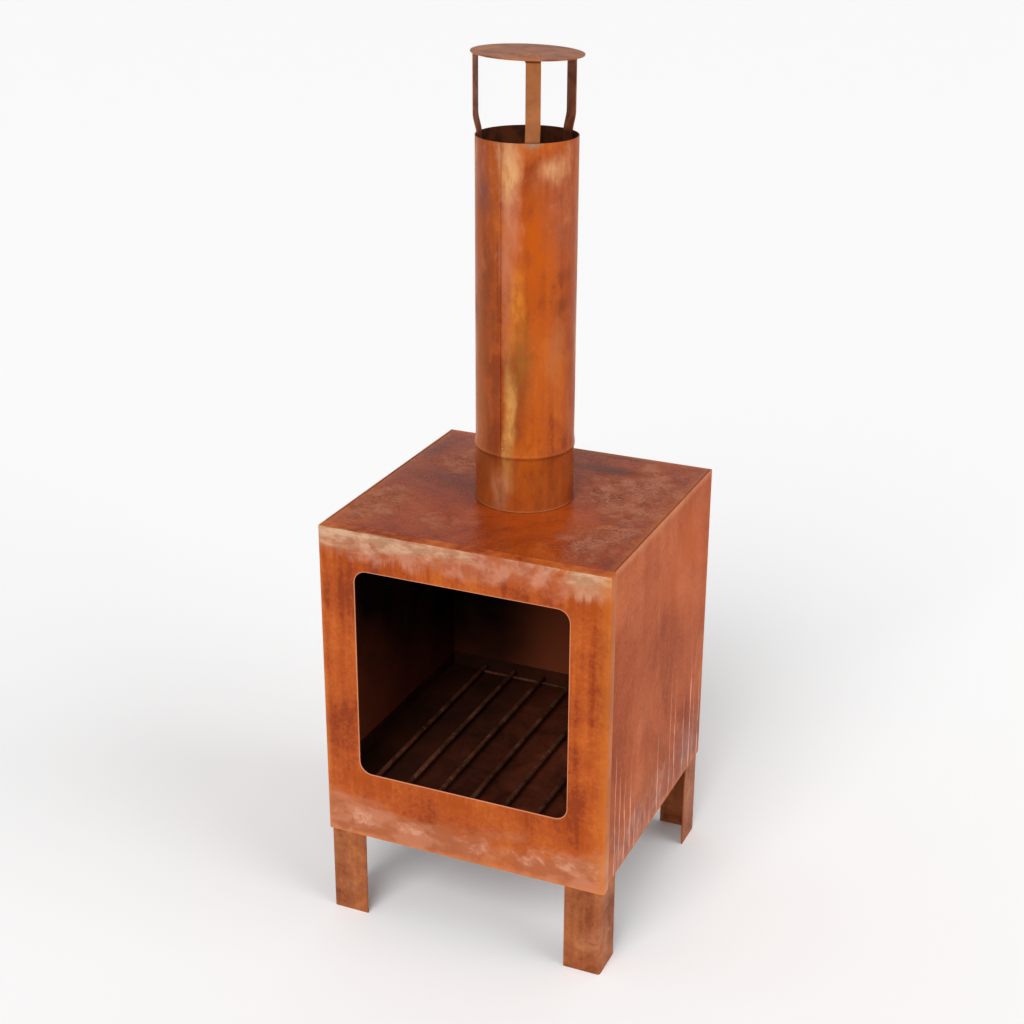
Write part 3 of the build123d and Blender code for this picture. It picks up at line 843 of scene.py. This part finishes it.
bore_soot = cover(tree, bore_soot, paint(48, 24, 16), paint(88, 44, 26))
smoked = cover(tree, bore, edged, bore_soot)
sheen = cloud(tree, stretch(tree, unrolled, (1, 0.3, 1)), 40.0, 5.0, 0.6)
rough = ease(tree, sheen, 0.3, 0.7, 0.22, 0.44)
rough = plus(tree, rough, times(tree, bore, 0.4))
surface(tree, shader, spot, smoked, rough, metallic=0.35, bump=0.35, Waves=0.5, Lumps=0.05, Pits=0.02)

mesh = bmesh.new()
start = flue_axis + Matrix.Rotation(seam_turn, 3, "Z") @ Vector((0, -1, 0)) * pipe_radius
outward = (start - flue_axis).normalized()
heights = [(up * MM, proud * MM) for up, proud in bead]
bead_top = heights[-1][0]
step_up = (pipe_high.z - pipe_low.z - bead_top) / upper_rings
heights += [(bead_top + step_up * (ring + 1), 0.0) for ring in range(upper_rings)]
profile = [mesh.verts.new(flue_axis + outward * (pipe_radius + proud) + Z * (pipe_low.z + up))
           for up, proud in heights]
first_edges = [mesh.edges.new(pair) for pair in zip(profile, profile[1:])]
flat_turn = acos(pipe_radius / (pipe_radius + seam_proud))
around = bmesh.ops.spin(mesh, geom=profile + first_edges, cent=flue_axis, axis=Z, angle=2 * pi - flat_turn,
                        steps=spin_steps, use_merge=False, use_duplicate=False)["geom_last"]
last_edges = [part for part in around if isinstance(part, bmesh.types.BMEdge)]
lapped = moved_parts(bmesh.ops.extrude_edge_only(mesh, edges=last_edges), bmesh.types.BMVert)
tangent = Matrix.Rotation(-flat_turn, 3, "Z") @ Z.cross(outward)
bmesh.ops.translate(mesh, verts=lapped, vec=tangent * pipe_radius * sin(flat_turn) / cos(flat_turn))
under = moved_parts(bmesh.ops.extrude_edge_only(mesh, edges=first_edges), bmesh.types.BMVert)
bmesh.ops.rotate(mesh, verts=under, cent=flue_axis, matrix=Matrix.Rotation(-lap_turn, 3, "Z"))
bmesh.ops.translate(mesh, verts=under, vec=-outward * lap_dip)
finish_piece(mesh, "pipe_sheet", "flue", pipe_rust, ("flue_pipe",),
             flue_axis + Z * (pipe_low.z + pipe_high.z) / 2, pipe_wall, pipe_edge)
# ------------------------
# Rain cap. A sheared disc of 1.6 mm sheet that sits a little askew on the straps, with
# mauve patches where the wet lies on it.

disc_low, disc_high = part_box("cap_disc")
disc_radius = 60.7 * MM
disc_sheet = 1.6 * MM
disc_up = Vector((0.0284, 0.0118, 1)).normalized()
disc_rings = 5

cap_rust, tree, shader, spot = start_material("cap rust")
ground = use(tree, rust_ground, {
    "Place": spot, "Dark": paint(120, 58, 30), "Middle": paint(152, 84, 44), "Bright": paint(176, 104, 52),
    "Cloud size": 30.0, "Runs": 0.0, "Grain": 0.25})
damp = use(tree, patch, {
    "Place": spot, "Centre": (0.018, -0.026, disc_high.z), "Size": (0.034, 0.026, 1), "Ragged": 0.03,
    "Rag size": 50.0})
mauve = use(tree, oxide_film, {
    "Place": spot, "Base": ground["Colour"], "Film": paint(190, 124, 84), "Deep film": paint(142, 78, 48),
    "Reach": ease(tree, damp["Mask"], 0.0, 1.0, 0.44, 0.74), "Patch size": 55.0, "Thickness": 0.8})
rough = ease(tree, mauve["Mask"], 0.0, 0.8, 0.34, 0.55)
surface(tree, shader, spot, mauve["Colour"], rough, bump=0.5, Waves=0.3)

mesh = bmesh.new()
bmesh.ops.create_circle(mesh, cap_ends=True, segments=spin_steps, radius=disc_radius)
for ring in range(disc_rings):
    middle = min(mesh.faces, key=lambda face: face.calc_center_median().length)
    bmesh.ops.inset_region(mesh, faces=[middle], thickness=disc_radius / (disc_rings + 1))
wafer = bmesh.ops.extrude_face_region(mesh, geom=mesh.faces[:])
bmesh.ops.translate(mesh, verts=moved_parts(wafer, bmesh.types.BMVert), vec=-Z * disc_sheet)
bmesh.ops.rotate(mesh, verts=mesh.verts, matrix=Z.rotation_difference(disc_up).to_matrix())
disc_middle = (disc_low + disc_high) / 2 + disc_up * disc_sheet / 2
bmesh.ops.translate(mesh, verts=mesh.verts, vec=disc_middle)
finish_piece(mesh, "rain_disc", "flue", cap_rust, ("cap_disc",))

# ------------------------
# Straps. Three flat strips bent by hand: a tab tacked under the disc, an upright, a double
# bend, and a leg welded inside the pipe's rim.

strap_width = 15.8 * MM
strap_sheet = 1.9 * MM
strap_turns = {"cap_strap_left": -82, "cap_strap_front": 29, "cap_strap_right": 147}
strap_reach = 58.5 * MM
strap_tab = 13 * MM
strap_bend_start = 17 * MM
strap_bend_end = 1 * MM
strap_leg = 32 * MM
strap_bend = 3.9 * MM
strap_bend_steps = 4
strap_edge = 0.3 * MM
bore_reach = 54.38 * MM
straps_middle = flue_axis + Z * 0.94
straps_inner = 30 * MM

strap_rust, tree, shader, spot = start_material("strap rust")
x, y, z = split_up(tree, spot)
ground = use(tree, rust_ground, {
    "Place": spot, "Dark": paint(112, 54, 30), "Middle": paint(138, 74, 42), "Bright": paint(160, 94, 54),
    "Cloud size": 40.0, "Run size": 200.0, "Runs": 0.3, "Grain": 0.3})
tan = ease(tree, plus(tree, y, 0.02), -0.03, 0.02, 1.0, 0.0)
faced = tint(tree, tan, 0.5, ground["Colour"], paint(154, 98, 58))
tucked = ease(tree, z, pipe_high.z - 4 * MM, pipe_high.z + 4 * MM, 0.8, 0.0)
sooty = cover(tree, tucked, faced, paint(60, 34, 24))
surface(tree, shader, spot, sooty, ease(tree, ground["Tone"], 0.3, 0.7, 0.6, 0.42), bump=0.5)

for strap, degrees in strap_turns.items():
    low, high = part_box(strap)
    turn = Matrix.Rotation(radians(degrees), 3, "Z")
    outward, across = turn @ Vector((0, -1, 0)), turn @ X
    path = ((strap_reach - strap_tab, high.z), (strap_reach, high.z),
            (strap_reach, pipe_high.z + strap_bend_start), (bore_reach, pipe_high.z + strap_bend_end),
            (bore_reach, pipe_high.z - strap_leg))
    near_side = flue_axis - across * strap_width / 2
    mesh = bmesh.new()
    one_edge = [mesh.verts.new(near_side + outward * reach + Z * height) for reach, height in path]
    length = [mesh.edges.new(pair) for pair in zip(one_edge, one_edge[1:])]
    other_edge = moved_parts(bmesh.ops.extrude_edge_only(mesh, edges=length), bmesh.types.BMVert)
    bmesh.ops.translate(mesh, verts=other_edge, vec=across * strap_width)
    bends = [edge for edge in mesh.edges if len(edge.link_faces) == 2]
    bmesh.ops.bevel(mesh, geom=bends, offset=strap_bend, segments=strap_bend_steps, profile=0.5,
                    affect="EDGES", offset_type="OFFSET", material=-1)
    finish_piece(mesh, f"{strap}_strip", "flue", strap_rust, (strap,),
                 straps_middle + outward * straps_inner, strap_sheet, strap_edge)

# ------------------------
# Grate. Seven round bars laid on two thinner cross rods and tacked where they cross. It
# lies loose on the floor plate, and is dull with heat and ash.

round_facets = 20
worn_share = 0.15

grate_steel, tree, shader, spot = start_material("grate steel")
ground = use(tree, rust_ground, {
    "Place": spot, "Dark": paint(52, 26, 17), "Middle": paint(80, 44, 30), "Bright": paint(110, 66, 46),
    "Cloud size": 30.0, "Runs": 0.0, "Grain": 0.4})
ashed = use(tree, oxide_film, {
    "Place": spot, "Base": ground["Colour"], "Film": paint(124, 86, 68), "Deep film": paint(76, 44, 31),
    "Reach": 0.52, "Patch size": 70.0, "Thickness": 0.6})
surface(tree, shader, spot, ashed["Colour"], 0.62, bump=0.6, Lumps=0.15)


def round_bar(node, long_axis):
    """A plain round bar over a node's box, spun from half its outline, with worn ends."""
    low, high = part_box(node)
    middle, half = (low + high) / 2, (high - low) / 2
    radius = min(half)
    mesh = bmesh.new()
    worn = radius * worn_share
    ends = [(-half[long_axis], 0.0), (-half[long_axis], radius - worn), (-half[long_axis] + worn, radius),
            (half[long_axis] - worn, radius), (half[long_axis], radius - worn), (half[long_axis], 0.0)]
    axis = (X, Y, Z)[long_axis]
    outline = [mesh.verts.new(middle + axis * along + Z * out_by) for along, out_by in ends]
    rims = [mesh.edges.new(pair) for pair in zip(outline, outline[1:])]
    bmesh.ops.spin(mesh, geom=outline + rims, cent=middle, axis=axis, angle=2 * pi, steps=round_facets,
                   use_merge=True, use_duplicate=False)
    return mesh


bars = [f"grate_bar_{number}" for number in range(1, 8)]
rods = ["grate_cross_rod_front", "grate_cross_rod_back"]
for bar in bars:
    finish_piece(round_bar(bar, 1), f"{bar}_round", "grate", grate_steel, (bar,), edge=0)
for rod in rods:
    finish_piece(round_bar(rod, 0), f"{rod}_round", "grate", grate_steel, (rod,), edge=0)
# ------------------------
# Studio. The stove stands on a broad pale floor under an even white sky. Two wide soft
# suns light it, one from the front and one from its right, and one camera looks at it.

floor_reach = 12
floor_white = (0.96, 0.96, 0.96, 1)
sky_white = (1, 1, 1, 1)
sky_strength = 0.45
studio_lights = (
    # name, degrees round from the front towards the right, degrees up, softness, strength
    ("key light", 2, 38, 36, 1.95),
    ("side light", 84, 26, 50, 1.25),
)
camera_lens = 62.33
camera_film = 36
camera_place = Vector((0.7477, -1.7492, 1.2652))
turn, tilt, roll = radians(23.53), radians(22.39), radians(0.25)

mesh = bmesh.new()
bmesh.ops.create_grid(mesh, x_segments=1, y_segments=1, size=floor_reach)
floor_data = bpy.data.meshes.new("studio floor")
mesh.to_mesh(floor_data)
mesh.free()
floor = bpy.data.objects.new("studio_floor", floor_data)
bpy.context.scene.collection.objects.link(floor)
floor_paint, tree, shader, spot = start_material("studio floor")
shader.inputs["Base Color"].default_value = floor_white
shader.inputs["Roughness"].default_value = 0.9
floor_data.materials.append(floor_paint)

world = bpy.data.worlds.new("studio")
world.use_nodes = True
sky = world.node_tree.nodes["Background"]
sky.inputs["Color"].default_value = sky_white
sky.inputs["Strength"].default_value = sky_strength
bpy.context.scene.world = world
bpy.context.scene.view_settings.view_transform = "Standard"

for name, round_by, up_by, softness, strength in studio_lights:
    light = bpy.data.lights.new(name, "SUN")
    light.angle = radians(softness)
    light.energy = strength
    lamp = bpy.data.objects.new(name, light)
    bpy.context.scene.collection.objects.link(lamp)
    lamp.rotation_euler = (radians(90 - up_by), 0, radians(round_by))

camera_data = bpy.data.cameras.new("camera")
camera_data.lens = camera_lens
camera_data.sensor_width = camera_film
camera = bpy.data.objects.new("camera", camera_data)
bpy.context.scene.collection.objects.link(camera)
back = Vector((sin(turn) * cos(tilt), -cos(turn) * cos(tilt), sin(tilt)))
right = Vector((cos(turn), sin(turn), 0))
up = back.cross(right)
right, up = right * cos(roll) + up * sin(roll), up * cos(roll) - right * sin(roll)
facing_stove = Matrix((right, up, back)).transposed().to_4x4()
camera.matrix_world = Matrix.Translation(camera_place) @ facing_stove
bpy.context.scene.camera = camera
